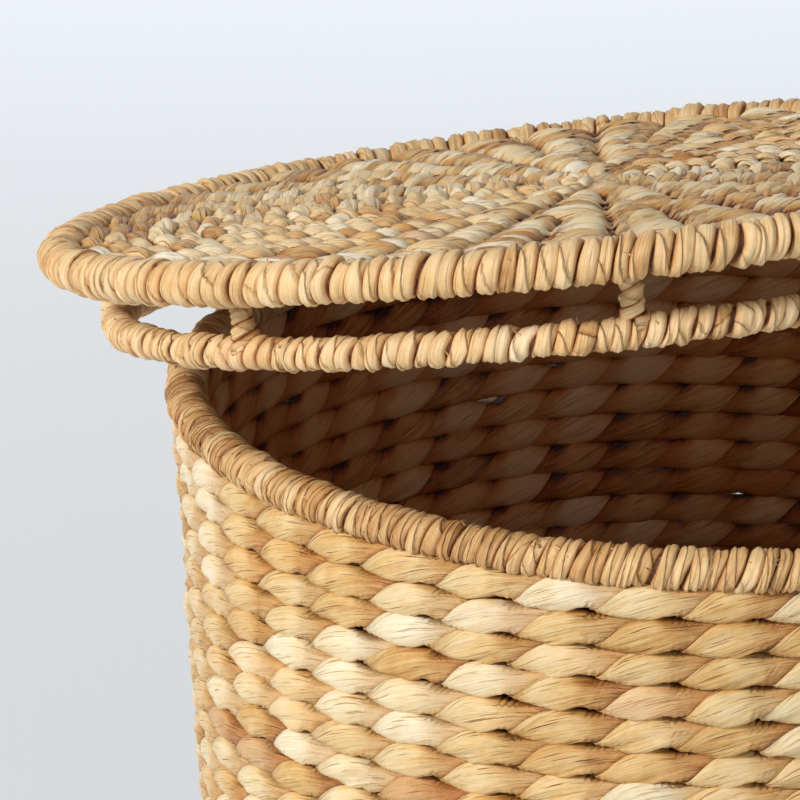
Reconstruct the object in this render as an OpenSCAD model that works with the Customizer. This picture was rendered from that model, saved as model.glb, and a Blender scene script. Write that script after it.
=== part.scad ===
// Round, tapered laundry hamper of twined water hyacinth on a wire frame,
// with a loose woven lid that locates in the mouth by a ring hung on posts.
// Millimetres, +Z up. The origin is the centre of the base, on the floor.
// The lid is drawn where it rests, tilted on the rim.

/* [Basket] */
// Height of the rim's centre line above the floor
rim_z = 565; // [300:1:800]
// Radius of the rim's centre line
rim_r = 220; // [160:1:300]
// Thickness of the bound rim
rim_d = 16; // [13:0.5:24]
// Wire inside the rim
rim_wire_d = 6; // [4:0.5:8]
// Radius of the foot ring's centre line
foot_r = 190; // [140:1:260]
// Thickness of the bound foot ring
foot_d = 14; // [13:0.5:20]
// Depth by which the foot ring is pressed flat against the floor
foot_flat = 1.5; // [1:0.1:3]
// Wire inside the foot ring
foot_wire_d = 5; // [3:0.5:6]

/* [Wall] */
// Thickness of the twined wall
wall_t = 12; // [8:0.5:12.5]
// Number of upright stakes that the rows are twined round
stake_count = 44; // [24:2:60]
// Diameter of a stake
stake_d = 3.6; // [2:0.2:5]

/* [Base] */
// Thickness of the twined base
base_t = 9; // [6:0.5:9]
// Number of spokes in the base
base_spoke_count = 16; // [8:2:24]
// Diameter of a base spoke
base_spoke_d = 3.2; // [2:0.2:4]
// Radius at which the base spokes start
base_hub_r = 12; // [12:1:40]

/* [Lid] */
// How far the lid ring's centre line stands outside the rim's
lid_overhang = 1; // [0:0.5:15]
// Thickness of the bound lid ring
lid_ring_d = 17; // [12:0.5:24]
// Wire inside the lid ring
lid_wire_d = 6; // [4:0.5:8]
// Thickness of the lid's twined disc
lid_t = 9; // [6:0.5:12]
// Number of spokes in the lid's disc
lid_spoke_count = 40; // [24:4:56]
// Diameter of a lid spoke
lid_spoke_d = 3; // [2:0.2:4]
// Radius at which every second lid spoke starts
lid_hub_r = 16; // [16:1:40]
// Radius at which the spokes between them start
lid_mid_r = 108; // [80:1:130]

/* [Locating ring] */
// Thickness of the bound locating ring
flange_d = 12.8; // [9:0.2:16]
// Wire inside the locating ring
flange_wire_d = 5; // [3:0.5:6]
// Play between the locating ring and the inside of the rim when closed
flange_play = 3.6; // [1:0.2:8]
// Distance from the lid's mid plane down to the ring's centre line
flange_drop = 29.5; // [26:0.5:60]
// Number of posts that carry the ring
post_count = 8; // [8:1:8]
// Thickness of a bound post
post_d = 8; // [6.5:0.5:10]
// Wire inside a post
post_wire_d = 4; // [2.5:0.5:5]

/* [How the lid rests] */
// Tilt of the lid at rest, in degrees
lid_tilt = 11.57; // [0:0.01:20]
// Direction of the lid's low side, in degrees from +X
lid_low_dir = 125.67; // [100:0.01:150]
// Direction of the place on the rim that it rests on
rest_dir = 137.55; // [120:0.01:150]
// How far inside the rim's centre line it rests
rest_in = 1.8; // [0:0.1:6]
// Gap between the locating ring and the rim where they meet
rest_gap = 0.6; // [0.3:0.1:2]

/* [Fits] */
// Clearance round a wire, spoke or stake in the weave that holds it
fit_gap = 0.15; // [0.1:0.05:0.3]

/* [Hidden] */
$fn = 48;
ring_fn = 180;

// Colours of the dried leaf and of the wire
leaf_pale = [0.85, 0.73, 0.55];
leaf_gold = [0.78, 0.62, 0.42];
leaf_tan = [0.72, 0.55, 0.36];
wire_grey = [0.35, 0.33, 0.31];

// The wall's centre line runs straight from the foot ring to the rim
foot_z = foot_d / 2 - foot_flat;
wall_rise = rim_z - foot_z;
wall_lean = atan2(rim_r - foot_r, wall_rise);
wall_slant = sqrt(wall_rise * wall_rise + (rim_r - foot_r) * (rim_r - foot_r));

// The lid's own rings follow the basket's mouth
lid_r = rim_r + lid_overhang;
flange_r = rim_r - rim_d / 2 - flange_d / 2 - flange_play;
post_step = 360 / post_count;
post_first = -90;

// The lowest point of the locating ring, which lies on the rim
rest_r = rim_r - rest_in;
rest_z = rim_z + (rim_d + flange_d) / 2 + rest_gap;
rest_point = [rest_r * cos(rest_dir), rest_r * sin(rest_dir), rest_z];

POST_WIRES = [for (i = [1 : post_count]) str("post_wire_", i)];
POST_BINDINGS = [for (i = [1 : post_count]) str("post_binding_", i)];

// A round ring about Z, from its centre-line radius and its thickness
module ring(r, d) {
    rotate_extrude($fn = ring_fn)
        translate([r, 0])
            circle(d = d);
}

// A rod along +X from one radius to another
module radial_rod(r0, r1, d) {
    translate([r0, 0, 0])
        rotate([0, 90, 0])
            cylinder(h = r1 - r0, d = d);
}

// The stakes, which lean out with the wall between the two wires; extra
// is what each is longer by at both ends
module stakes(d, extra) {
    start = foot_wire_d / 2 + fit_gap - extra;
    end = wall_slant - rim_wire_d / 2 - fit_gap + extra;
    for (i = [0 : stake_count - 1])
        rotate([0, 0, (i + 0.5) * 360 / stake_count])
            translate([foot_r, 0, foot_z])
                rotate([0, wall_lean, 0])
                    translate([0, 0, start])
                        cylinder(h = end - start, d = d);
}

// The base's spokes, which lie in its middle and reach the foot wire
module base_spoke_set(d, extra) {
    end = foot_r - foot_wire_d / 2 - fit_gap + extra;
    for (i = [0 : base_spoke_count - 1])
        rotate([0, 0, (i + 0.5) * 360 / base_spoke_count])
            translate([0, 0, base_t / 2])
                radial_rod(base_hub_r, end, d);
}

// The lid's spokes in its own frame: long ones from the hub, and short
// ones between them once there is room
module lid_spoke_set(d, extra) {
    end = lid_r - lid_wire_d / 2 - fit_gap + extra;
    for (i = [0 : lid_spoke_count - 1])
        rotate([0, 0, post_first + i * 360 / lid_spoke_count])
            radial_rod(i % 2 == 0 ? lid_hub_r : lid_mid_r, end, d);
}

// Puts what is drawn in the lid's own frame where the lid rests
module on_lid() {
    translate(rest_point)
        rotate([0, 0, lid_low_dir])
            rotate([0, lid_tilt, 0])
                translate([-flange_r, 0, flange_drop])
                    rotate([0, 0, -lid_low_dir])
                        children();
}

// Puts what is drawn on the +X side at one post
module at_post(i) {
    rotate([0, 0, post_first + (i - 1) * post_step])
        translate([flange_r, 0, 0])
            children();
}

module rim_wire() {
    color(wire_grey)
        translate([0, 0, rim_z])
            ring(rim_r, rim_wire_d);
}

module rim_binding() {
    color(leaf_tan)
        difference() {
            translate([0, 0, rim_z])
                ring(rim_r, rim_d);
            translate([0, 0, rim_z])
                ring(rim_r, rim_wire_d + 2 * fit_gap);
            stakes(stake_d + 2 * fit_gap, fit_gap);
        }
}

module wall_stakes() {
    color(wire_grey)
        stakes(stake_d, 0);
}

module wall_weave() {
    color(leaf_pale)
        difference() {
            rotate_extrude($fn = ring_fn)
                polygon([
                    [foot_r - wall_t / 2, foot_z],
                    [foot_r + wall_t / 2, foot_z],
                    [rim_r + wall_t / 2, rim_z],
                    [rim_r - wall_t / 2, rim_z]
                ]);
            translate([0, 0, rim_z])
                ring(rim_r, rim_d + 2 * fit_gap);
            translate([0, 0, foot_z])
                ring(foot_r, foot_d + 2 * fit_gap);
            stakes(stake_d + 2 * fit_gap, 0);
        }
}

module foot_wire() {
    color(wire_grey)
        translate([0, 0, foot_z])
            ring(foot_r, foot_wire_d);
}

module foot_binding() {
    color(leaf_tan)
        difference() {
            translate([0, 0, foot_z])
                ring(foot_r, foot_d);
            translate([0, 0, foot_z])
                ring(foot_r, foot_wire_d + 2 * fit_gap);
            translate([0, 0, -foot_d])
                cylinder(h = foot_d, r = foot_r + foot_d, $fn = ring_fn);
            stakes(stake_d + 2 * fit_gap, fit_gap);
            base_spoke_set(base_spoke_d + 2 * fit_gap, fit_gap);
        }
}

module base_spokes() {
    color(wire_grey)
        base_spoke_set(base_spoke_d, 0);
}

module base_weave() {
    color(leaf_gold)
        difference() {
            cylinder(h = base_t, r = foot_r, $fn = ring_fn);
            translate([0, 0, foot_z])
                ring(foot_r, foot_d + 2 * fit_gap);
            base_spoke_set(base_spoke_d + 2 * fit_gap, 0);
        }
}

module lid_ring_wire() {
    color(wire_grey)
        on_lid()
            ring(lid_r, lid_wire_d);
}

module lid_ring_binding() {
    color(leaf_gold)
        on_lid()
            difference() {
                ring(lid_r, lid_ring_d);
                ring(lid_r, lid_wire_d + 2 * fit_gap);
                lid_spoke_set(lid_spoke_d + 2 * fit_gap, fit_gap);
            }
}

module lid_spokes() {
    color(wire_grey)
        on_lid()
            lid_spoke_set(lid_spoke_d, 0);
}

// The post wires end just under the spokes that they are welded to
module post_rod(d, extra) {
    start = -flange_drop + flange_wire_d / 2 + fit_gap - extra;
    end = -lid_spoke_d / 2 - fit_gap + extra;
    translate([0, 0, start])
        cylinder(h = end - start, d = d);
}

module lid_weave() {
    color(leaf_pale)
        on_lid()
            difference() {
                translate([0, 0, -lid_t / 2])
                    cylinder(h = lid_t, r = lid_r, $fn = ring_fn);
                ring(lid_r, lid_ring_d + 2 * fit_gap);
                lid_spoke_set(lid_spoke_d + 2 * fit_gap, 0);
                for (i = [1 : post_count])
                    at_post(i)
                        post_rod(post_wire_d + 2 * fit_gap, fit_gap);
            }
}

module flange_wire() {
    color(wire_grey)
        on_lid()
            translate([0, 0, -flange_drop])
                ring(flange_r, flange_wire_d);
}

module flange_binding() {
    color(leaf_gold)
        on_lid()
            difference() {
                translate([0, 0, -flange_drop])
                    ring(flange_r, flange_d);
                translate([0, 0, -flange_drop])
                    ring(flange_r, flange_wire_d + 2 * fit_gap);
                for (i = [1 : post_count])
                    at_post(i)
                        post_rod(post_wire_d + 2 * fit_gap, fit_gap);
            }
}

module post_wire(i) {
    color(wire_grey)
        on_lid()
            at_post(i)
                post_rod(post_wire_d, 0);
}

// A post's binding runs from the lid's underside down on to the ring
module post_binding(i) {
    top = -lid_t / 2 - fit_gap;
    color(leaf_gold)
        on_lid()
            difference() {
                at_post(i)
                    translate([0, 0, -flange_drop])
                        cylinder(h = flange_drop + top, d = post_d);
                at_post(i)
                    post_rod(post_wire_d + 2 * fit_gap, fit_gap);
                translate([0, 0, -flange_drop])
                    ring(flange_r, flange_d + 2 * fit_gap);
            }
}

rim_wire();
rim_binding();
wall_stakes();
wall_weave();
foot_wire();
foot_binding();
base_spokes();
base_weave();
lid_ring_wire();
lid_ring_binding();
lid_spokes();
lid_weave();
flange_wire();
flange_binding();
for (i = [1 : post_count]) {
    post_wire(i);
    post_binding(i);
}
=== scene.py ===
"""A round laundry hamper of twined water hyacinth with its loose woven lid set down ajar.

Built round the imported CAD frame: the wires stay as they are, and strand meshes stand for the
woven walls, discs and bindings. Lengths are in metres, +Z is up, and -Y is towards the front.
"""

import math

import bpy
import numpy as np
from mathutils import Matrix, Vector


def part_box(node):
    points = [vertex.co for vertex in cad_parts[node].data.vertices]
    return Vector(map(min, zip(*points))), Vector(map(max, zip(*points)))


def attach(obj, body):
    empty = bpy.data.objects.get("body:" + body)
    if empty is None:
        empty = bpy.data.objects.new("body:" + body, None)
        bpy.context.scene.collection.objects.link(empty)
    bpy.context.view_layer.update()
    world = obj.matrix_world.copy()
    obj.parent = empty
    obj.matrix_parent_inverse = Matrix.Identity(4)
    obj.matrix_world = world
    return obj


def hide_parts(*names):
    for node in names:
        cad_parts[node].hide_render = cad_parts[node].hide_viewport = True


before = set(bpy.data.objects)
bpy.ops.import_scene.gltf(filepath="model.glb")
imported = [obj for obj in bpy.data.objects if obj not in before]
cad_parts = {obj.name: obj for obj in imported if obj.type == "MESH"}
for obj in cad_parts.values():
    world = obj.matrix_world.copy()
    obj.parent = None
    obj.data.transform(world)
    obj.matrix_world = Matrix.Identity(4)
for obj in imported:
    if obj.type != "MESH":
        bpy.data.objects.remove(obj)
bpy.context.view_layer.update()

MM = 0.001
TAU = 2 * math.pi


# ---------------------------------------------------------------- the frame's own sizes
def level_ring(node):
    """Centre, centre-line radius and wire radius of a level ring node."""
    lo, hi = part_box(node)
    wire = (hi.z - lo.z) / 2
    return (lo + hi) / 2, (hi.x - lo.x) / 2 - wire, wire


def tilted_ring(node, normal):
    """Centre, centre-line radius and tube radius of a ring node whose axis is normal."""
    lo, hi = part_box(node)
    half = (hi - lo) / 2
    wide = math.sqrt(1 - normal.x**2)
    tall = math.sqrt(1 - normal.z**2)
    radius = (half.x - half.z) / (wide - tall)
    return (lo + hi) / 2, radius, half.x - radius * wide


def middle(node):
    lo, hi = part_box(node)
    return (lo + hi) / 2


RIM_C, RIM_R, _ = level_ring("rim_wire")
FOOT_C, FOOT_R, _ = level_ring("foot_wire")
RIM_TUBE = (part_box("rim_binding")[1].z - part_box("rim_binding")[0].z) / 2
FOOT_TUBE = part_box("foot_binding")[1].z - FOOT_C.z
LID_N = (middle("lid_ring_wire") - middle("flange_wire")).normalized()
LID_C, LID_R, LID_TUBE = tilted_ring("lid_ring_binding", LID_N)
FLANGE_C, FLANGE_R, FLANGE_TUBE = tilted_ring("flange_binding", LID_N)
POSTS = sorted(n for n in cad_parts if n.startswith("post_binding_"))

# ---------------------------------------------------------------- the weave's own sizes
STAKES = 44
STAKE_AT = 0.55  # where in a stitch the stake lies, from one nose to the next
WALL_ROW = 13.3 * MM
WALL_OUT = 6.1 * MM  # half the wall's thickness
ROW_HALF = 0.56  # half a strand row's height, in rows: neighbours press together
LID_SPOKES = 40
LID_ROW = 9.3 * MM
LID_OUT = 4.6 * MM
BASE_ROW = 12.5 * MM
BASE_OUT = 4.4 * MM


# ---------------------------------------------------------------- arrays and noise
def wave(rng, knots, at):
    """Smooth noise of unit spread at the places in at. It repeats when at grows by 1."""
    values = rng.normal(size=knots)
    x = at * knots
    i = np.floor(x).astype(int)
    f = x - i
    f = f * f * (3 - 2 * f)
    return values[i % knots] * (1 - f) + values[(i + 1) % knots] * f


def steps(rng, knots, at, soft=0.25):
    """Noise like wave()'s that holds each value and changes over the soft share of a step."""
    values = rng.normal(size=knots)
    x = at * knots
    i = np.floor(x).astype(int)
    f = np.clip((x - i) / soft, 0, 1)
    f = f * f * (3 - 2 * f)
    return values[(i - 1) % knots] * (1 - f) + values[i % knots] * f


def unit(v):
    return v / np.linalg.norm(v, axis=-1, keepdims=True)


# ---------------------------------------------------------------- meshes
UV_MARGIN, UV_FILL = 0.04, 0.92  # shares of a strip of the UV map
CAP_UV = 0.001  # where the small end caps lie, both ways


def grid_mesh(name, grids, material):
    """One mesh from strand grids. Each grid has points, tone and strand, all (n, m, 3). It is
    closed round its second way, and round its first too if closed is set. tone holds the tone,
    warmth and stains, and the tone and the stains carry painted shade as well; strand holds the
    place along, across and in which leaf. bands is how many strips of the UV map the grid fills."""
    points, tones, strands, quads, uvs = [], [], [], [], []
    caps = []
    start = 0
    bands = sum(g["bands"] for g in grids)
    band = 0
    for g in grids:
        n, m, _ = g["points"].shape
        points.append(g["points"].reshape(-1, 3))
        tones.append(g["tone"].reshape(-1, 3))
        strands.append(g["strand"].reshape(-1, 3))
        rows = n if g["closed"] else n - 1
        i, j = np.meshgrid(np.arange(rows), np.arange(m), indexing="ij")
        i2, j2 = (i + 1) % n, (j + 1) % m
        q = np.stack([i * m + j, i2 * m + j, i2 * m + j2, i * m + j2], -1).reshape(-1, 4)
        quads.append(q + start)
        per = math.ceil(rows / g["bands"])
        u0, u1 = (i % per) / per, (i % per + 1) / per
        row = band + i // per
        v0 = (row + UV_MARGIN + UV_FILL * j / m) / bands
        v1 = (row + UV_MARGIN + UV_FILL * (j + 1) / m) / bands
        uv = np.stack([u0, v0, u1, v0, u1, v1, u0, v1], -1).reshape(-1, 2)
        uvs.append(uv)
        if not g["closed"]:
            caps.append(np.arange(m)[::-1] + start)
            caps.append(np.arange(m) + start + (n - 1) * m)
        band += g["bands"]
        start += n * m
    points = np.concatenate(points).astype(np.float32)
    quads = np.concatenate(quads).astype(np.int32)
    corners = np.concatenate([quads.ravel()] + [c.astype(np.int32) for c in caps])
    sizes = np.concatenate([np.full(len(quads), 4), [len(c) for c in caps]]).astype(np.int32)
    cap_uv = [np.full((len(c), 2), CAP_UV) for c in caps]
    uvs = np.concatenate(uvs + cap_uv).astype(np.float32)
    mesh = bpy.data.meshes.new(name)
    mesh.vertices.add(len(points))
    mesh.vertices.foreach_set("co", points.ravel())
    mesh.loops.add(len(corners))
    mesh.loops.foreach_set("vertex_index", corners)
    mesh.polygons.add(len(sizes))
    first = np.concatenate([[0], np.cumsum(sizes)[:-1]]).astype(np.int32)
    mesh.polygons.foreach_set("loop_start", first)
    mesh.polygons.foreach_set("use_smooth", np.ones(len(sizes), bool))
    mesh.update(calc_edges=True)
    tone = np.concatenate(tones)
    tone = np.concatenate([tone, np.ones((len(tone), 1))], 1).astype(np.float32)
    colours = mesh.color_attributes.new("tone", "FLOAT_COLOR", "POINT")
    colours.data.foreach_set("color", tone.ravel())
    strand = np.concatenate(strands).astype(np.float32)
    vectors = mesh.attributes.new("strand", "FLOAT_VECTOR", "POINT")
    vectors.data.foreach_set("vector", strand.ravel())
    mesh.uv_layers.new(name="OFBake").uv.foreach_set("vector", uvs.ravel())
    mesh.validate()
    obj = bpy.data.objects.new(name, mesh)
    bpy.context.collection.objects.link(obj)
    mesh.materials.append(material)
    return obj


# ---------------------------------------------------------------- twined rows
OUTER, INNER = 19, 5  # points across the outer and inner face of a ply
OVERLAP = 24.0  # degrees by which one ply's tail runs on under the other's edge
NOSE_POWER = 2.2  # how much faster than a plain helix a ply's nose comes up
NOSE_STRAY = 0.05  # how far the noses stray along the row, in stitches
STRAY_UP, STRAY_OUT = 0.45, 0.35  # mm by which a row strays from its line
GAP_LEAD = 0.02  # how far before its nose a gap's middle lies, in stitches
GAP_BEFORE, GAP_AFTER = 0.15, 0.36  # how far the gap tapers off each way, in stitches
GAP, PIT = 0.42, 0.3  # how much of a ply's height the gap takes, and its middle besides
SHOULDER, SHOULDER_AT, SHOULDER_WIDE = 0.24, 0.12, 0.19  # the upper edge lowered by a nose
PINHOLE_SHUT, PINHOLE_OPEN = -0.34, 1.1  # the gap at the back: mostly shut, a few open
FOLDS = ((0.55, 0.30), (1.05, 0.24), (2.3, 0.15))  # waves across a scale, depth in mm
CREASE, PUFF = 0.6, 0.45  # mm
PAINTED_SHADE_TONE, PAINTED_SHADE_WARM, PAINTED_SHADE_STAIN = 0.12, 0.5, 1.25  # painted shade behind the stakes, standing in for the shade inside the basket and under the discs
PAINTED_SHADE_SPREAD = 1.2  # how much more the tones differ in that painted shade
PRESS = 1.2 * MM  # height over the floor below which settle() flattens a strand


def lead_angle(u):
    """Where a ply's leading edge stands round the row, in degrees: -90 is the row's lower
    edge, 0 its front. It comes up fast, as a blunt nose, and then flattens out."""
    whole = np.floor(u)
    part = 1 - (1 - (u - whole)) ** NOSE_POWER
    return 180 * (whole + part) - 90


def ease(x):
    x = np.clip(x, 0, 1)
    return x * x * (3 - 2 * x)


def hump(x, width):
    return np.exp(-((x / width) ** 2))


def fibre_line(x, y):
    """Which of a scale's fibres passes a point, -1 low to 1 high: they fan out of the nose,
    run along the scale and close up again towards the tail. x is stitches from the nose."""
    spread = 0.14 + 0.92 * ease(x / 0.5) * (1 - 0.6 * ease((x - 0.55) / 0.85))
    return (y - (-0.95 + 1.55 * ease(x / 1.35))) / spread


def twined_row(rng, count, place, half_out, half_up, thick, per, bands, mean, spread,
               bulge=0.0, crisp=1.0, warm=0.14, dip=0.0, square=0.56, row_edge_shade=0.14):
    """The two plies of one twined row as grids. place(turn) gives the row's centre points,
    its front and its upward directions at the shares of a turn in turn. Every pass of a ply
    in front of a stake, or behind one, is a scale with its own tone, puff and folds.

    count is the stitches in the row and per the points in a stitch. bulge swells the scales at
    the stakes, dip sinks the places between them and paints shade into them, crisp deepens the
    folds, square makes the row's section squarer the lower it is, and the last argument sets the
    painted shade on the edges between rows, in the valleys where they meet. Painted shade also
    lies behind the stakes, in the gaps under the noses and where a ply runs under the other one."""
    total = count * per
    s = np.arange(total) / per
    turn = (s - STAKE_AT + 0.5) / count
    centre, front, up = place(turn)
    around = s / count
    centre = centre + up * (wave(rng, count // 2, around) * STRAY_UP * MM)[:, None]
    centre = centre + front * (wave(rng, count // 2, around) * STRAY_OUT * MM)[:, None]
    squeeze = np.cos(TAU * (s - STAKE_AT))

    # the gap under each nose, along the row
    s_near = s - np.round(s)
    from_gap = s_near + GAP_LEAD
    stitch = around + 0.5 / count
    deep = np.clip(0.8 + 0.35 * steps(rng, count, stitch), 0.25, 1.5)
    taper = np.where(s_near < -GAP_LEAD, GAP_BEFORE, GAP_AFTER)
    notch = GAP * hump(from_gap, taper) + PIT * hump(from_gap, 0.09) * deep
    shoulder = SHOULDER * hump(s_near - SHOULDER_AT, SHOULDER_WIDE)
    pinhole = PINHOLE_SHUT + PINHOLE_OPEN * np.clip(steps(rng, count, stitch) - 1.5, 0, 1)
    length = np.linalg.norm(np.diff(centre, axis=0), axis=1).mean() * per
    nose = NOSE_STRAY * wave(rng, count, around)

    # the points across a ply, in degrees behind its leading edge
    b_out = np.linspace(-180 - OVERLAP, 0, OUTER)
    b_out[-2] = -4
    b_in = np.linspace(-7, -172 - OVERLAP, INNER)
    b = np.concatenate([b_out, b_in])[None, :]
    is_out = np.concatenate([np.ones(OUTER), np.zeros(INNER)])[None, :]
    share = -b / (180 + OVERLAP)
    mid = np.sin(np.pi * np.clip(share, 0, 1))
    edge = -0.5 * MM * hump(b, 5) - 0.5 * MM * hump(b + 180 + OVERLAP, 12)
    inward = thick * (0.24 + 0.76 * mid**0.7) * (1 - is_out)
    out = half_out * (1 + bulge * squeeze - dip * hump(from_gap, 0.1) * (0.6 + 0.4 * deep))
    high = half_up * (1 + 0.04 * squeeze)
    scale = 1 + (0.07 + 0.2 * bulge) * (1 + 2 * b / 180)

    passes = count // 2
    grids = []
    for ply in range(2):
        u = s - ply
        lead = lead_angle(u + nose)
        # a scale's own values: 0-2 fold depths, 3-5 fold phases (5 is also its stain),
        # 6 crease place, 7 fold bend, 8 crease depth, 9 puff, 10 tone, 11 warmth
        own = rng.normal(size=(2, passes, 12))
        angle = np.radians(lead[:, None] + b)
        c, sn = np.cos(angle), np.sin(angle)
        side = (c < 0).astype(int)
        u_all = np.broadcast_to(u[:, None], c.shape)
        number = np.floor((u_all - side) / 2).astype(int) % passes
        mine = own[side, number]
        x = (u_all - side) % 2
        y = np.where(side == 0, sn, -sn)
        line = fibre_line(x, y)
        fade = np.clip(2.2 * np.abs(c), 0, 1)

        fold = np.zeros(c.shape)
        bend = 0.10 * mine[..., 7] * x
        for i, (turns, size) in enumerate(FOLDS):
            depth = size * crisp * MM * (1 + 0.4 * mine[..., i])
            fold += depth * np.sin(TAU * turns * (line + bend) + 2.5 * mine[..., i + 3])
        crease = hump(line - 0.1 - 0.45 * mine[..., 6], 0.07)
        crease = crease * np.clip(0.5 + 0.7 * mine[..., 8], 0, 1.5)
        fold -= CREASE * crisp * MM * crease * ease((x - 0.1) / 0.3)
        puff = PUFF * MM * mine[..., 9] * np.sin(np.pi * np.clip(x / 1.2, 0, 1)) * np.abs(c)
        reach = 0.5 * MM * mid + ((fold + puff) * fade * mid**0.5 + edge) * is_out - inward
        f_off = (out[:, None] * scale + reach) * np.sign(c) * np.abs(c) ** square
        u_off = (high[:, None] * scale + reach) * sn

        # in front, the gap lifts the lower edge and lowers the upper one beside it; behind,
        # the upper edge closes it, apart from a few pinholes
        low, top = np.clip(-sn, 0, 1) ** 2.2, np.clip(sn, 0, 1) ** 2.2
        fore, aft = np.clip((c + 0.4) / 0.5, 0, 1), np.clip((0.4 - c) / 0.5, 0, 1)
        opened = notch[:, None] * (low * fore + pinhole[:, None] * top * aft)
        u_off = u_off * (1 - opened - shoulder[:, None] * top * fore)
        # painted shade in the gap under each nose, where the light does not reach
        gap_shade_mask = 2.0 * top * np.clip((0.02 - c) / 0.25, 0, 1) + 0.9 * low * fore
        shade = notch[:, None] * gap_shade_mask
        points = centre[:, None] + front[:, None] * f_off[..., None]
        points = points + up[:, None] * u_off[..., None]

        # painted shade behind the stakes: the tone there is shifted and spread wider
        own_tone = spread * np.clip(mine[..., 10], -1.3, 1.5) * (1 + PAINTED_SHADE_SPREAD * side)
        light = mean + own_tone + PAINTED_SHADE_TONE * side
        light = light + 0.05 * wave(rng, count * 2, around)[:, None]
        # painted shade: the tail darkens in front, and a line darkens where the ply runs under
        # the other ply's edge
        light = light - 0.08 * ease((x - 0.8) / 0.5) * (1 - side) - 0.2 * hump(b + 180, 12)
        # painted shade in the valleys between rows
        light = light - row_edge_shade * ease((np.abs(sn) - 0.7) / 0.28)
        # painted shade in the dips between stakes and in the gaps under the noses
        light = light - 0.5 * dip * hump(from_gap, 0.08)[:, None] - shade
        # painted shade behind the stakes: warmer there
        warmth = warm + 0.28 * mine[..., 11] + 0.35 * ease((x - 0.7) / 0.6) + PAINTED_SHADE_WARM * side
        stain_and_shade = 0.5 * ease((x - 0.75) / 0.6) + np.clip(mine[..., 5] - 1.6, 0, 1)
        # stains, with painted shade added behind the stakes and in the gaps under the noses
        stain_and_shade = stain_and_shade + PAINTED_SHADE_STAIN * side + shade
        strand = np.stack([
            np.broadcast_to((s * length / MM)[:, None], c.shape) + 40 * side,
            line * half_up / MM,
            rng.uniform(0, 500) + number * 7.3 + side * 3.1,
        ], -1)
        tone = np.stack([light, warmth, stain_and_shade], -1)
        grids.append(dict(points=points, tone=tone, strand=strand, closed=True, bands=bands))
    return grids


def settle(grids):
    """Presses flat against the floor whatever would hang below it."""
    for grid in grids:
        z = grid["points"][..., 2]
        z[...] = np.where(z < PRESS, PRESS * np.exp(np.minimum(z - PRESS, 0) / PRESS), z)


# ---------------------------------------------------------------- wound bindings
LEAF_RIDGES = ((1.1, 0.20), (2.3, 0.13))  # waves across a wound leaf, depth in mm
LEAF_HALF = 0.545  # half a wound leaf's width, in turns: neighbours overlap a little


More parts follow.
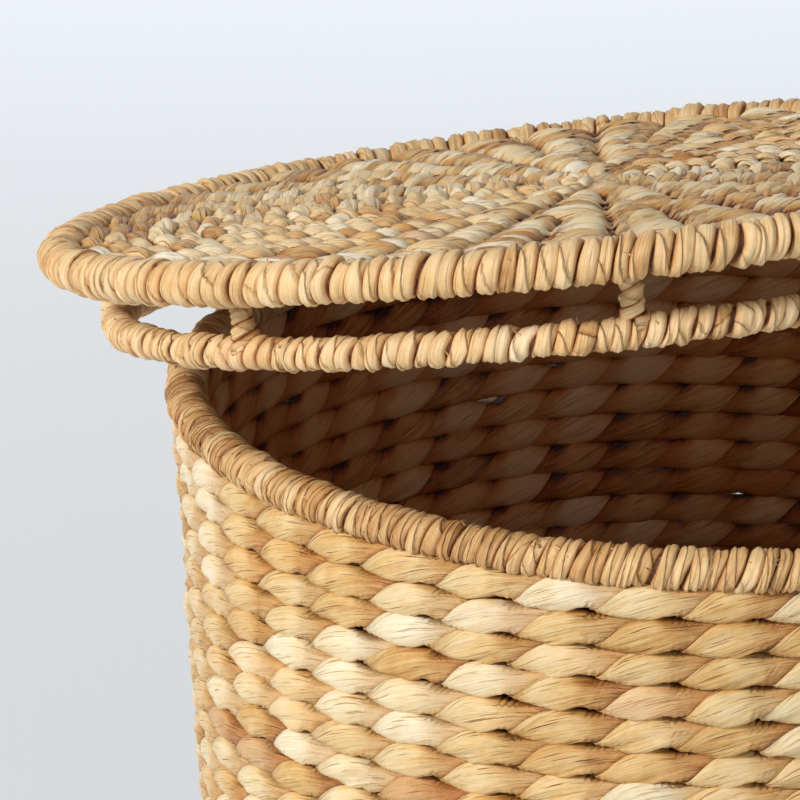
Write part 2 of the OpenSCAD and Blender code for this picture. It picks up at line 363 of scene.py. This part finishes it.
def wind(rng, path, length, tube, pitch, closed, per=44, across=12, thick=2.3 * MM, tone=0.5,
         bands=6, flare=None, rate=2.4, slant=0.5, tilt=0.12, edge=1.0):
    """A leaf strand wound round a core line, as grids. path(share) gives the core's points,
    and two directions across it, at shares of its length. The leaf is folded over itself
    along slanting lines, which the strand's third value counts.

    pitch is what a turn takes of the length, per and across are the points in a turn and across
    the leaf, rate is the folds in a turn, slant how far a fold moves from the leaf's middle to
    its edge, tilt how far a turn leans, edge how much painted shade darkens the leaf's edges, in
    the grooves between turns, and flare(share) widens the tube."""
    turns = max(3, round(length / pitch))
    widths = np.clip(rng.normal(1, 0.2, turns), 0.62, 1.5)
    edges = np.concatenate([[0], np.cumsum(widths)]) / widths.sum()
    n = turns * per + (0 if closed else 1)
    t = np.arange(n) / per
    whole = np.clip(np.floor(t).astype(int), 0, turns - 1)
    share = edges[whole] + (edges[whole + 1] - edges[whole]) * (t - whole)
    ahead = np.append(widths, widths[0] if closed else widths[-1])
    behind = np.concatenate([[widths[-1] if closed else widths[0]], widths])
    ahead = np.interp(t, np.arange(turns + 1), ahead) * length / widths.sum()
    behind = np.interp(t, np.arange(turns + 1), behind[:turns + 1]) * length / widths.sum()
    around = t / turns
    tube_here = tube * (1 + 0.035 * wave(rng, turns, around))
    if flare is not None:
        tube_here = tube_here * flare(share)
    folds = round(turns * rate)
    gaps = np.clip(rng.normal(1, 0.45, folds), 0.3, 2.2)
    at = np.concatenate([[0], np.cumsum(gaps)]) / gaps.sum() * turns
    count = np.interp(t, at, np.arange(folds + 1))
    v = np.concatenate([np.linspace(-1, 1, across), np.linspace(0.8, -0.8, 3)])
    is_out = np.concatenate([np.ones(across), np.zeros(3)])[None, :]
    way = slant * (1 + 0.5 * wave(rng, turns, around))
    fold = count[:, None] + way[:, None] * v[None, :]
    saw = fold - np.floor(fold)
    high = rng.uniform(-1, 1, folds)[np.floor(fold).astype(int) % folds]
    profile = np.sqrt(np.clip(1 - np.abs(v) ** 2.8, 0, 1))
    ridges = np.zeros((n, len(v)))
    for freq, size in LEAF_RIDGES:
        phase = wave(rng, turns * 3, around)[:, None] * 2.2
        ridges += size * MM * np.sin(TAU * freq * v[None, :] + phase)
    puff = 1 + 0.16 * wave(rng, turns * 3, around)[:, None]
    layer = (saw - 0.5 + 0.25 * high) * MM - 0.5 * MM * hump(saw - 1, 0.1)
    body = thick * profile[None, :] * puff + (ridges + layer) * profile
    body = np.where(is_out > 0, body, -0.35 * thick)
    rho = tube_here[:, None] - thick * 1.02 + body
    reach = np.where(v[None, :] > 0, ahead[:, None], behind[:, None])
    wander = 0.09 * wave(rng, turns * 2, around)[:, None]
    wander = wander + 0.05 * wave(rng, turns * 5, around)[:, None]
    slip = v[None, :] * LEAF_HALF * (1 + 0.07 * wave(rng, turns * 3, around)[:, None]) * reach
    slip = slip + wander * length / turns
    slip = slip + (tilt * length / turns * np.sin(TAU * t))[:, None]
    angle = TAU * t
    centre, e1, e2 = path(share)
    nxt, _, _ = path(share + 1e-4)
    along = unit(nxt - centre)
    radial = e1 * np.cos(angle)[:, None] + e2 * np.sin(angle)[:, None]
    points = centre[:, None] + radial[:, None] * rho[..., None] + along[:, None] * slip[..., None]
    leaf_tone = tone + 0.055 * steps(rng, int(turns * 0.8), around, 0.3)
    tones = np.stack([
        leaf_tone + 0.03 * wave(rng, turns * 3, around),
        0.45 + 0.16 * steps(rng, int(turns * 1.3), around, 0.3),
        0.5 * np.clip(steps(rng, turns, around, 0.3) - 1.2, 0, 1),
    ], -1)
    tones = np.repeat(tones[:, None], len(v), 1)
    # painted shade at the leaf's edges, in the grooves between turns
    tones[..., 0] -= 0.25 * edge * (np.abs(v) ** 7)[None, :]
    tones[..., 2] += 1.2 * edge * (np.abs(v) ** 5)[None, :]
    strand = np.zeros(points.shape)
    strand[..., 0] = (t * TAU * tube / MM)[:, None] + 2.5 * v[None, :] * slant
    strand[..., 1] = v[None, :] * 3.2
    strand[..., 2] = fold
    points, tones, strand = points[:, ::-1], tones[:, ::-1], strand[:, ::-1]
    return [dict(points=points, tone=tones, strand=strand, closed=closed, bands=bands)]


def frays(rng, path, tube, number, top, length=2.3 * MM, tone=0.48):
    """Loose fibre ends that stand off a binding, as thin tapered grids. top is the middle of
    the part of the tube, in degrees from outwards to upwards, that they mostly leave."""
    grids = []
    for _ in range(number):
        at = rng.uniform(0, 1)
        angle = math.radians(rng.normal(top, 45))
        centre, e1, e2 = (v[0] for v in path(np.array([at])))
        nxt = path(np.array([at + 1e-4]))[0][0]
        along = unit(nxt - centre)
        out = e1 * math.cos(angle) + e2 * math.sin(angle)
        round_way = -e1 * math.sin(angle) + e2 * math.cos(angle)
        turn = rng.uniform(0, TAU)
        lie = unit(round_way * math.cos(turn) + along * math.sin(turn))
        reach = length * rng.uniform(0.5, 1.4)
        lift = rng.uniform(0.0, 0.75)
        width = rng.uniform(0.25, 0.7) * MM
        k = np.linspace(0, 1, 6)[:, None]
        spine = centre + out * (tube * 0.93) + lie * reach * k + out * reach * lift * k**1.6
        across = np.cross(lie, out)
        taper = 1 - 0.85 * k
        corners = [across * width, out * width * 0.35, -across * width, -out * width * 0.35]
        points = np.stack([spine + c * taper for c in corners], 1)
        tones = np.broadcast_to(np.array([tone + rng.normal(0, 0.12), 0.4, 0.1]), points.shape)
        strand = np.zeros(points.shape)
        strand[..., 0] = k * 6 + rng.uniform(0, 500)
        strand[..., 2] = 0.5
        grids.append(dict(points=points, tone=tones, strand=strand, closed=False, bands=1))
    return grids


def shade_core_tube(path, tube, count, sides=10, tone=0.1):
    """A near-black tube under a binding's turns: painted shade that shows in their gaps, as a
    grid.
    """
    share = np.arange(count) / count
    centre, e1, e2 = path(share)
    a = np.arange(sides) / sides * TAU
    ring = e1[:, None] * np.cos(a)[None, :, None] + e2[:, None] * np.sin(a)[None, :, None]
    points = centre[:, None] + ring * tube
    tones = np.broadcast_to(np.array([tone, 0.5, 0.9]), points.shape)
    strand = np.zeros(points.shape)
    strand[..., 0] = (share * 900)[:, None]
    strand[..., 1] = a[None, :] * tube / MM
    strand[..., 2] = 0.5
    return dict(points=points, tone=tones.copy(), strand=strand, closed=True, bands=1)


# ---------------------------------------------------------------- materials
def srgb(r, g, b):
    """An sRGB colour from 0 to 255 as linear RGBA."""
    def lin(c):
        c /= 255
        return c / 12.92 if c <= 0.04045 else ((c + 0.055) / 1.055) ** 2.4
    return (lin(r), lin(g), lin(b), 1.0)


class Nodes:
    """Short calls for making a material's nodes."""

    def __init__(self, name):
        self.material = bpy.data.materials.new(name)
        self.material.use_nodes = True
        self.tree = self.material.node_tree
        self.shader = self.tree.nodes["Principled BSDF"]

    def new(self, kind, **values):
        node = self.tree.nodes.new(kind)
        for key, value in values.items():
            setattr(node, key, value)
        return node

    def link(self, a, b):
        self.tree.links.new(a, b)

    def attribute(self, name):
        return self.new("ShaderNodeAttribute", attribute_name=name)

    def math(self, kind, a, b):
        node = self.new("ShaderNodeMath", operation=kind)
        for socket, value in zip(node.inputs, (a, b)):
            if isinstance(value, (int, float)):
                socket.default_value = value
            else:
                self.link(value, socket)
        return node.outputs[0]

    def scaled(self, vector, scale):
        node = self.new("ShaderNodeMapping")
        self.link(vector, node.inputs["Vector"])
        node.inputs["Scale"].default_value = scale
        return node.outputs[0]

    def noise(self, vector, scale, detail=3.0, rough=0.55):
        node = self.new("ShaderNodeTexNoise")
        node.inputs["Scale"].default_value = scale
        node.inputs["Detail"].default_value = detail
        node.inputs["Roughness"].default_value = rough
        self.link(vector, node.inputs["Vector"])
        return node.outputs["Fac"]

    def stretch(self, value, low, high, to_low=0.0, to_high=1.0):
        """value mapped so that low and less is to_low, and high and more is to_high."""
        node = self.new("ShaderNodeMapRange")
        self.link(value, node.inputs["Value"])
        node.inputs["From Min"].default_value = low
        node.inputs["From Max"].default_value = high
        node.inputs["To Min"].default_value = to_low
        node.inputs["To Max"].default_value = to_high
        return node.outputs["Result"]

    def moved(self, value, noise, share):
        """value, moved by a share of how far the noise is from its middle."""
        away = self.math("SUBTRACT", noise, 0.5)
        return self.math("ADD", value, self.math("MULTIPLY", away, share))

    def ramp(self, value, stops):
        node = self.new("ShaderNodeValToRGB")
        elements = node.color_ramp.elements
        while len(elements) < len(stops):
            elements.new(0.5)
        for element, (place, colour) in zip(elements, stops):
            element.position = place
            element.color = colour
        self.link(value, node.inputs["Fac"])
        return node.outputs["Color"]

    def mix(self, kind, share, a, b):
        node = self.new("ShaderNodeMix", data_type="RGBA", blend_type=kind)
        for socket, value in ((node.inputs[0], share), (node.inputs[6], a), (node.inputs[7], b)):
            if isinstance(value, (int, float, tuple)):
                socket.default_value = value
            else:
                self.link(value, socket)
        return node.outputs[2]


FIBRE_TONE, BLOTCH_TONE = 0.56, 0.42  # how far each pattern moves a leaf's tone
STREAK_TONE, HAIR_TONE = 0.34, 0.42
STREAK_FOLDED, HAIR_FOLDED = 0.14, 0.12  # the same on a wound leaf, which folds break up
FOLD_TONE, FOLD_SHADE = 0.10, 0.3  # across a fold, and the painted shade in the line where it closes
WARM = srgb(255, 218, 158)
# multiplied in for stains, and for painted shade behind the stakes, in the gaps, at the wound
# leaves' edges and in the binding cores
STAIN_AND_SHADE = srgb(200, 132, 60)
STAIN_AND_SHADE_SHARE, STAIN_AND_SHADE_MOST = 0.55, 0.95


def leaf_material(name, stops, fine, roughness, bump, folded=False):
    """Dried leaf: a tone a strand, with fibres along it, blotches, stains and dry streaks. The
    tone attribute brings painted shade too, which lowers the tone and is multiplied in with the
    stains. fine sets how thin the fibres are. Where it is folded, the strand's third value counts
    the folds, and painted shade darkens the line where each fold closes."""
    m = Nodes(name)
    tone = m.attribute("tone")
    split = m.new("ShaderNodeSeparateColor")
    m.link(tone.outputs["Color"], split.inputs[0])
    strand = m.attribute("strand").outputs["Vector"]
    if folded:
        parts = m.new("ShaderNodeSeparateXYZ")
        m.link(strand, parts.inputs[0])
        fold = parts.outputs[2]
        ragged = m.noise(m.scaled(strand, (0.5, 0.9, 0.0)), 1.0, 2.0, 0.5)
        fold = m.moved(fold, ragged, 0.1)
        saw = m.math("FRACT", fold, 0.0)
        leaf = m.math("FLOOR", fold, 0.0)
        flat = m.new("ShaderNodeCombineXYZ")
        m.link(parts.outputs[0], flat.inputs[0])
        m.link(m.math("ADD", parts.outputs[1], m.math("MULTIPLY", leaf, 0.7)), flat.inputs[1])
        m.link(m.math("MULTIPLY", leaf, 5.3), flat.inputs[2])
        strand = flat.outputs[0]
    fibres = m.noise(m.scaled(strand, (0.04, 2.2 * fine, 1.0)), 1.0, 4.0, 0.65)
    streaks = m.noise(m.scaled(strand, (0.02, 0.6 * fine, 1.0)), 1.0, 2.0, 0.5)
    blotch = m.noise(m.scaled(strand, (0.11, 0.12, 1.0)), 1.0, 3.0, 0.6)
    hairs = m.noise(m.scaled(strand, (0.06, 1.9 * fine, 1.0)), 1.0, 1.0, 0.5)
    hairs = m.stretch(hairs, 0.66, 0.71)
    value = m.moved(split.outputs[0], fibres, FIBRE_TONE)
    value = m.moved(value, streaks, STREAK_FOLDED if folded else STREAK_TONE)
    value = m.moved(value, blotch, BLOTCH_TONE)
    hair_tone = HAIR_FOLDED if folded else HAIR_TONE
    value = m.math("SUBTRACT", value, m.math("MULTIPLY", hairs, hair_tone))
    height = m.math("ADD", fibres, m.math("MULTIPLY", streaks, 0.9))
    height = m.math("SUBTRACT", height, m.math("MULTIPLY", hairs, 0.6))
    if folded:
        # painted shade along the line where each fold closes under the next; the same line steps
        # the bump
        shut = m.stretch(saw, 0.9, 1.0)
        value = m.math("SUBTRACT", value, m.math("MULTIPLY", shut, FOLD_SHADE))
        value = m.moved(value, saw, FOLD_TONE)
        step = m.math("SUBTRACT", saw, m.math("MULTIPLY", shut, 1.2))
        height = m.math("ADD", height, m.math("MULTIPLY", step, 1.6))
    colour = m.ramp(value, stops)
    warm = m.math("MULTIPLY", split.outputs[1], 0.5)
    colour = m.mix("MULTIPLY", warm, colour, WARM)
    # the tone attribute's third channel: stains and painted shade
    stained_and_shaded = m.math("MINIMUM", m.math("MULTIPLY", split.outputs[2], STAIN_AND_SHADE_SHARE), STAIN_AND_SHADE_MOST)
    colour = m.mix("MULTIPLY", stained_and_shaded, colour, STAIN_AND_SHADE)
    m.link(colour, m.shader.inputs["Base Color"])
    rough = m.stretch(fibres, 0.3, 0.7, roughness - 0.1, roughness + 0.14)
    m.link(rough, m.shader.inputs["Roughness"])
    lift = m.new("ShaderNodeBump")
    lift.inputs["Strength"].default_value = bump
    lift.inputs["Distance"].default_value = 0.6 * MM
    m.link(height, lift.inputs["Height"])
    m.link(lift.outputs["Normal"], m.shader.inputs["Normal"])
    m.shader.inputs["Specular IOR Level"].default_value = 0.56
    return m.material


WALL_STOPS = (
    (0.0, srgb(80, 40, 12)),
    (0.25, srgb(176, 120, 54)),
    (0.42, srgb(212, 168, 98)),
    (0.60, srgb(228, 198, 142)),
    (0.80, srgb(237, 217, 176)),
    (1.0, srgb(244, 231, 204)),
)
LID_STOPS = (
    (0.0, srgb(74, 38, 13)),
    (0.25, srgb(160, 108, 54)),
    (0.42, srgb(206, 161, 97)),
    (0.60, srgb(229, 197, 141)),
    (0.80, srgb(240, 220, 180)),
    (1.0, srgb(248, 237, 212)),
)
BIND_STOPS = (
    (0.0, srgb(70, 36, 12)),
    (0.24, srgb(140, 92, 42)),
    (0.42, srgb(192, 148, 92)),
    (0.62, srgb(222, 190, 138)),
    (0.84, srgb(240, 216, 174)),
    (1.0, srgb(248, 232, 202)),
)
LEAF_WALL = leaf_material("leaf_wall", WALL_STOPS, 1.15, 0.34, 0.9)
LEAF_LID = leaf_material("leaf_lid", LID_STOPS, 0.9, 0.4, 1.3)
LEAF_BIND = leaf_material("leaf_binding", BIND_STOPS, 1.1, 0.5, 0.8, folded=True)


def wire_material():
    """Dull varnished steel wire with rust specks."""
    m = Nodes("frame_wire")
    place = m.new("ShaderNodeTexCoord").outputs["Object"]
    grain = m.noise(place, 240.0, 4.0)
    stops = ((0.35, srgb(74, 62, 52)), (0.62, srgb(104, 88, 72)), (0.8, srgb(122, 78, 44)))
    colour = m.ramp(grain, stops)
    m.link(colour, m.shader.inputs["Base Color"])
    m.shader.inputs["Metallic"].default_value = 0.6
    m.link(m.stretch(grain, 0.0, 1.0, 0.4, 0.7), m.shader.inputs["Roughness"])
    return m.material


WIRE = wire_material()
for node_name, node_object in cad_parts.items():
    node_object.data.materials.clear()
    node_object.data.materials.append(WIRE)


def finish_piece(obj, body, slot, *nodes):
    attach(obj, body)
    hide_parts(*nodes)


# ---------------------------------------------------------------- the wall
def circle_place(centre, radius, front_z, up_z):
    """place() for a level row: front leans by front_z and up by up_z."""
    def place(turn):
        a = turn * TAU
        flat = np.stack([np.cos(a), np.sin(a), np.zeros_like(a)], -1)
        points = np.array(centre)[None, :] + flat * radius
        front = unit(flat + np.array([0, 0, front_z])[None, :])
        up = unit(flat * up_z + np.array([0, 0, 1.0])[None, :])
        return points, front, up
    return place


def make_wall():
    rise = RIM_C.z - FOOT_C.z
    flare = (RIM_R - FOOT_R) / rise
    z0 = FOOT_C.z + FOOT_TUBE + 0.3 * WALL_ROW
    z1 = RIM_C.z - RIM_TUBE - 0.36 * WALL_ROW
    rows = round((z1 - z0) / WALL_ROW)
    for k in range(rows + 1):
        rng = np.random.default_rng(1000 + k)
        z = z0 + (z1 - z0) * k / rows
        radius = FOOT_R + (z - FOOT_C.z) * flare
        place = circle_place((0, 0, z), radius, -flare, flare)
        grids = twined_row(rng, STAKES, place, WALL_OUT, WALL_ROW * ROW_HALF, 2.6 * MM, 13, 5,
                           mean=0.655, spread=0.14)
        row = grid_mesh(f"wall_row_{k + 1:02d}", grids, LEAF_WALL)
        finish_piece(row, "basket", "wall_leaf", "wall_weave")


make_wall()


# ---------------------------------------------------------------- ring bindings
def ring_path(centre, normal, radius):
    """path() of a round ring about normal, counted from the front."""
    n = Vector(normal)
    x = Vector((0, 1, 0)).cross(n).normalized()
    y = n.cross(x)
    centre, x, y, n = (np.array(v) for v in (centre, x, y, n))

    def path(share):
        a = share * TAU
        out = np.cos(a)[:, None] * x + np.sin(a)[:, None] * y
        return centre + out * radius, out, np.broadcast_to(n, out.shape)
    return path


SHADE_CORE_SHARE = 0.74  # of the tube's radius, the near-black core, painted shade that shows in a binding's gaps


def bound_ring(name, centre, normal, radius, tube, pitch, seed, tone, body, node, loose=0,
               on_floor=False, **how):
    """A ring bound with leaf, with a near-black core of painted shade and loose fibre ends."""
    rng = np.random.default_rng(seed)
    path = ring_path(centre, normal, radius)
    grids = wind(rng, path, TAU * radius, tube, pitch, True, tone=tone, **how)
    # painted shade under the turns
    grids.append(shade_core_tube(path, tube * SHADE_CORE_SHARE, 240))
    grids += frays(rng, path, tube, loose, 70)
    if on_floor:
        settle(grids)
    ring = grid_mesh(name, grids, LEAF_BIND)
    finish_piece(ring, body, "leaf_binding", node)


UP = Vector((0, 0, 1))
bound_ring("rim_wraps", RIM_C, UP, RIM_R, RIM_TUBE, 5.8 * MM, 21, 0.55, "basket", "rim_binding",
           loose=420, bands=14, tilt=0.24, thick=2.2 * MM, rate=2.3, edge=0.6, slant=0.85)
bound_ring("foot_wraps", FOOT_C + UP * 0.9 * MM, UP, FOOT_R, FOOT_TUBE - 0.6 * MM, 6.2 * MM, 22,
           0.5, "basket", "foot_binding", on_floor=True, per=30, across=9, bands=14)
bound_ring("lid_ring_wraps", LID_C, LID_N, LID_R, LID_TUBE, 6.7 * MM, 23, 0.66, "lid",
           "lid_ring_binding", loose=90, bands=14, thick=2.7 * MM, per=48, across=13,
           slant=0.42, rate=2.0)
bound_ring("flange_wraps", FLANGE_C, LID_N, FLANGE_R, FLANGE_TUBE, 6.4 * MM, 24, 0.7, "lid",
           "flange_binding", loose=80, bands=12, per=40, slant=0.42, rate=2.0)


# ---------------------------------------------------------------- posts
POST_TUBE = 4.0 * MM
POST_SINK = 0.55  # of the locating ring's tube, how far over its core a post starts


def make_posts():
    for i, node in enumerate(POSTS):
        rng = np.random.default_rng(60 + i)
        lo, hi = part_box(node)
        mid = (lo + hi) / 2
        out = mid - LID_C
        out = (out - LID_N * out.dot(LID_N)).normalized()
        foot = np.array(FLANGE_C + out * FLANGE_R + LID_N * (FLANGE_TUBE * POST_SINK))
        height = (LID_C - FLANGE_C).length - LID_OUT - FLANGE_TUBE * POST_SINK
        n, e1 = np.array(LID_N), np.array(out)
        e2 = np.cross(n, e1)

        def path(share):
            points = foot + n * (share * height)[:, None]
            return points, np.broadcast_to(e1, points.shape), np.broadcast_to(e2, points.shape)

        grids = wind(rng, path, height, POST_TUBE, 5.2 * MM, False, per=30, across=8,
                     thick=1.0 * MM, tone=0.7, bands=1,
                     flare=lambda share: 1 + 0.75 * np.exp(-share / 0.16))
        post = grid_mesh(f"post_wraps_{i + 1}", grids, LEAF_BIND)
        finish_piece(post, "lid", "leaf_binding", node)


make_posts()


# ---------------------------------------------------------------- the lid's disc and the base
DISC_GAP = 4.4 * MM  # from the lid ring's binding to the outermost row's centre line
BASE_GAP = 5.0 * MM  # the same at the foot
BASE_Z = 5.1 * MM


def disc_place(centre, normal, radius):
    """place() for a concentric row of a flat disc; up runs towards the middle."""
    path = ring_path(centre, normal, radius)
    n = np.array(normal)

    def place(turn):
        points, out, _ = path(turn)
        return points, np.broadcast_to(n, out.shape), -out
    return place


def disc_rows(prefix, centre, normal, outer, pitch, half_out, counts, material, body, slot,
              node, per, seed, mean, dip=0.0, on_floor=False):
    """Concentric rows from the radius outer to the middle. counts lists, from the outside in,
    the least radius and the stitches in a row there."""
    rows = int((outer - 8 * MM) / pitch)
    for k in range(rows + 1):
        rng = np.random.default_rng(seed + k)
        radius = outer - pitch * k
        count = next(c for r, c in counts if radius >= r)
        place = disc_place(centre, normal, radius)
        grids = twined_row(rng, count, place, half_out, pitch * ROW_HALF, 2.0 * MM, per, 3, mean,
                           spread=0.19, bulge=0.18, crisp=1.3, warm=0.42, dip=dip, square=1.0,
                           row_edge_shade=0.5)
        if on_floor:
            settle(grids)
        row = grid_mesh(f"{prefix}_row_{k + 1:02d}", grids, material)
        finish_piece(row, body, slot, node)


disc_rows("lid", LID_C, LID_N, LID_R - LID_TUBE - DISC_GAP, LID_ROW, LID_OUT,
          ((108 * MM, LID_SPOKES), (44 * MM, LID_SPOKES // 2), (0, LID_SPOKES // 4)),
          LEAF_LID, "lid", "lid_leaf", "lid_weave", 16, 3000, 0.685, dip=0.85)
disc_rows("base", FOOT_C + UP * (-FOOT_C.z + BASE_Z), UP, FOOT_R - FOOT_TUBE - BASE_GAP,
          BASE_ROW, BASE_OUT, ((90 * MM, STAKES), (40 * MM, STAKES // 2), (0, 10)),
          LEAF_WALL, "basket", "wall_leaf", "base_weave", 8, 5000, 0.56, on_floor=True)


def centre_knot(name, centre, normal, span, half_out, material, body, slot, node, seed,
                on_floor=False):
    """Short leaf straps crossed over the middle of a disc, on both its faces."""
    rng = np.random.default_rng(seed)
    n = Vector(normal)
    x = Vector((0, 1, 0)).cross(n).normalized()
    centre, n, x, y = np.array(centre), np.array(n), np.array(x), np.array(n.cross(x))
    v = np.concatenate([np.linspace(-1, 1, 9), np.linspace(0.75, -0.75, 4)])
    is_out = np.concatenate([np.ones(9), np.zeros(4)])
    k = np.linspace(-1, 1, 25)
    grids = []
    for face in (1, -1):
        for i in range(5):
            turn = (i * 0.618 + 0.08 * rng.normal()) * math.pi
            along = x * math.cos(turn) + y * math.sin(turn)
            across = np.cross(n * face, along)
            width = span * rng.uniform(0.26, 0.33) * (1 - 0.35 * k**4)
            width = width * (1 + 0.1 * np.sin(3 * k + i))
            dome = half_out * (0.62 + 0.07 * i - 0.75 * np.abs(k) ** 3)
            crown = 1.5 * MM * np.sqrt(np.clip(1 - v**2, 0, 1)) * is_out - 0.9 * MM * (1 - is_out)
            waves = TAU * 1.3 * v[None, :] + 2 * rng.normal() + 2 * k[:, None]
            wrinkle = 0.22 * MM * np.sin(waves) * is_out
            height = dome[:, None] + (crown + wrinkle) * (1 - 0.5 * k[:, None] ** 6)
            flat = along * (span * k)[:, None, None]
            wide = across * (width[:, None] * v)[..., None]
            points = centre + flat + wide + n * face * height[..., None]
            # painted shade: the straps on the underside are darker
            value = 0.5 + 0.1 * rng.normal() - 0.12 * (face < 0)
            tones = np.broadcast_to(np.array([value, 0.3, 0.2]), points.shape)
            strand = np.zeros(points.shape)
            strand[..., 0] = (k * span / MM)[:, None]
            strand[..., 1] = v * 4
            strand[..., 2] = rng.uniform(0, 500)
            grids.append(dict(points=points, tone=tones, strand=strand, closed=False, bands=1))
    if on_floor:
        settle(grids)
    finish_piece(grid_mesh(name, grids, material), body, slot, node)


centre_knot("lid_centre", LID_C, LID_N, 15 * MM, LID_OUT, LEAF_LID, "lid", "lid_leaf",
            "lid_weave", 71)
centre_knot("base_centre", (0, 0, BASE_Z), UP, 17 * MM, BASE_OUT, LEAF_WALL, "basket",
            "wall_leaf", "base_weave", 72, on_floor=True)


# ---------------------------------------------------------------- stage, light and camera
CAMERA_AT = Vector((-0.5986, -7.146, 2.370))  # from the rim's centre, in rim radii
CAMERA_DOWN = 18.64  # degrees that it looks below level


def make_stage():
    """A floor that bends up into a wall, far enough back to be behind a rear view's camera."""
    size, bend, height, back = 14.0, 1.6, 7.0, 11.0
    facets = 16
    ys = [-size]
    zs = [0.0]
    for i in range(facets + 1):
        a = i / facets * math.pi / 2
        ys.append(back - bend + bend * math.sin(a))
        zs.append(bend - bend * math.cos(a))
    ys.append(back)
    zs.append(height)
    verts = [(x, y, z) for y, z in zip(ys, zs) for x in (-size, size)]
    faces = [(2 * i, 2 * i + 1, 2 * i + 3, 2 * i + 2) for i in range(len(ys) - 1)]
    mesh = bpy.data.meshes.new("sweep")
    mesh.from_pydata(verts, [], faces)
    mesh.polygons.foreach_set("use_smooth", [True] * len(faces))
    obj = bpy.data.objects.new("sweep", mesh)
    bpy.context.collection.objects.link(obj)
    m = Nodes("sweep")
    m.shader.inputs["Base Color"].default_value = srgb(236, 239, 242)
    m.shader.inputs["Roughness"].default_value = 0.9
    mesh.materials.append(m.material)


def area_light(name, at, towards, size, watts, colour):
    data = bpy.data.lights.new(name, "AREA")
    data.shape = "RECTANGLE"
    data.size, data.size_y = size
    data.energy = watts
    data.color = colour
    obj = bpy.data.objects.new(name, data)
    bpy.context.collection.objects.link(obj)
    obj.location = at
    obj.rotation_mode = "QUATERNION"
    obj.rotation_quaternion = (Vector(towards) - Vector(at)).to_track_quat("-Z", "Y")


def make_lights():
    world = bpy.data.worlds.new("studio")
    bpy.context.scene.world = world
    world.use_nodes = True
    back = world.node_tree.nodes["Background"]
    back.inputs["Color"].default_value = (0.94, 0.97, 1.0, 1)
    back.inputs["Strength"].default_value = 0.345
    aim = (0, 0, 0.5)
    area_light("key", (-3.0, -1.95, 2.4), aim, (0.75, 0.75), watts=134, colour=(1.0, 0.97, 0.93))
    area_light("fill", (1.6, -3.4, 1.9), aim, (2.0, 2.0), watts=27, colour=(1.0, 0.98, 0.95))
    area_light("backdrop", (0, 3.7, 2.4), (0, 3.7, 0), (6.0, 1.2), watts=68,
               colour=(0.96, 0.98, 1.0))


def make_camera():
    data = bpy.data.cameras.new("camera")
    data.lens = 180
    data.sensor_width = 36
    data.clip_end = 100
    obj = bpy.data.objects.new("camera", data)
    bpy.context.collection.objects.link(obj)
    obj.location = RIM_C + CAMERA_AT * RIM_R
    obj.rotation_euler = (math.radians(90 - CAMERA_DOWN), 0, 0)
    bpy.context.scene.camera = obj


make_stage()
make_lights()
make_camera()
bpy.context.scene.view_settings.view_transform = "Standard"
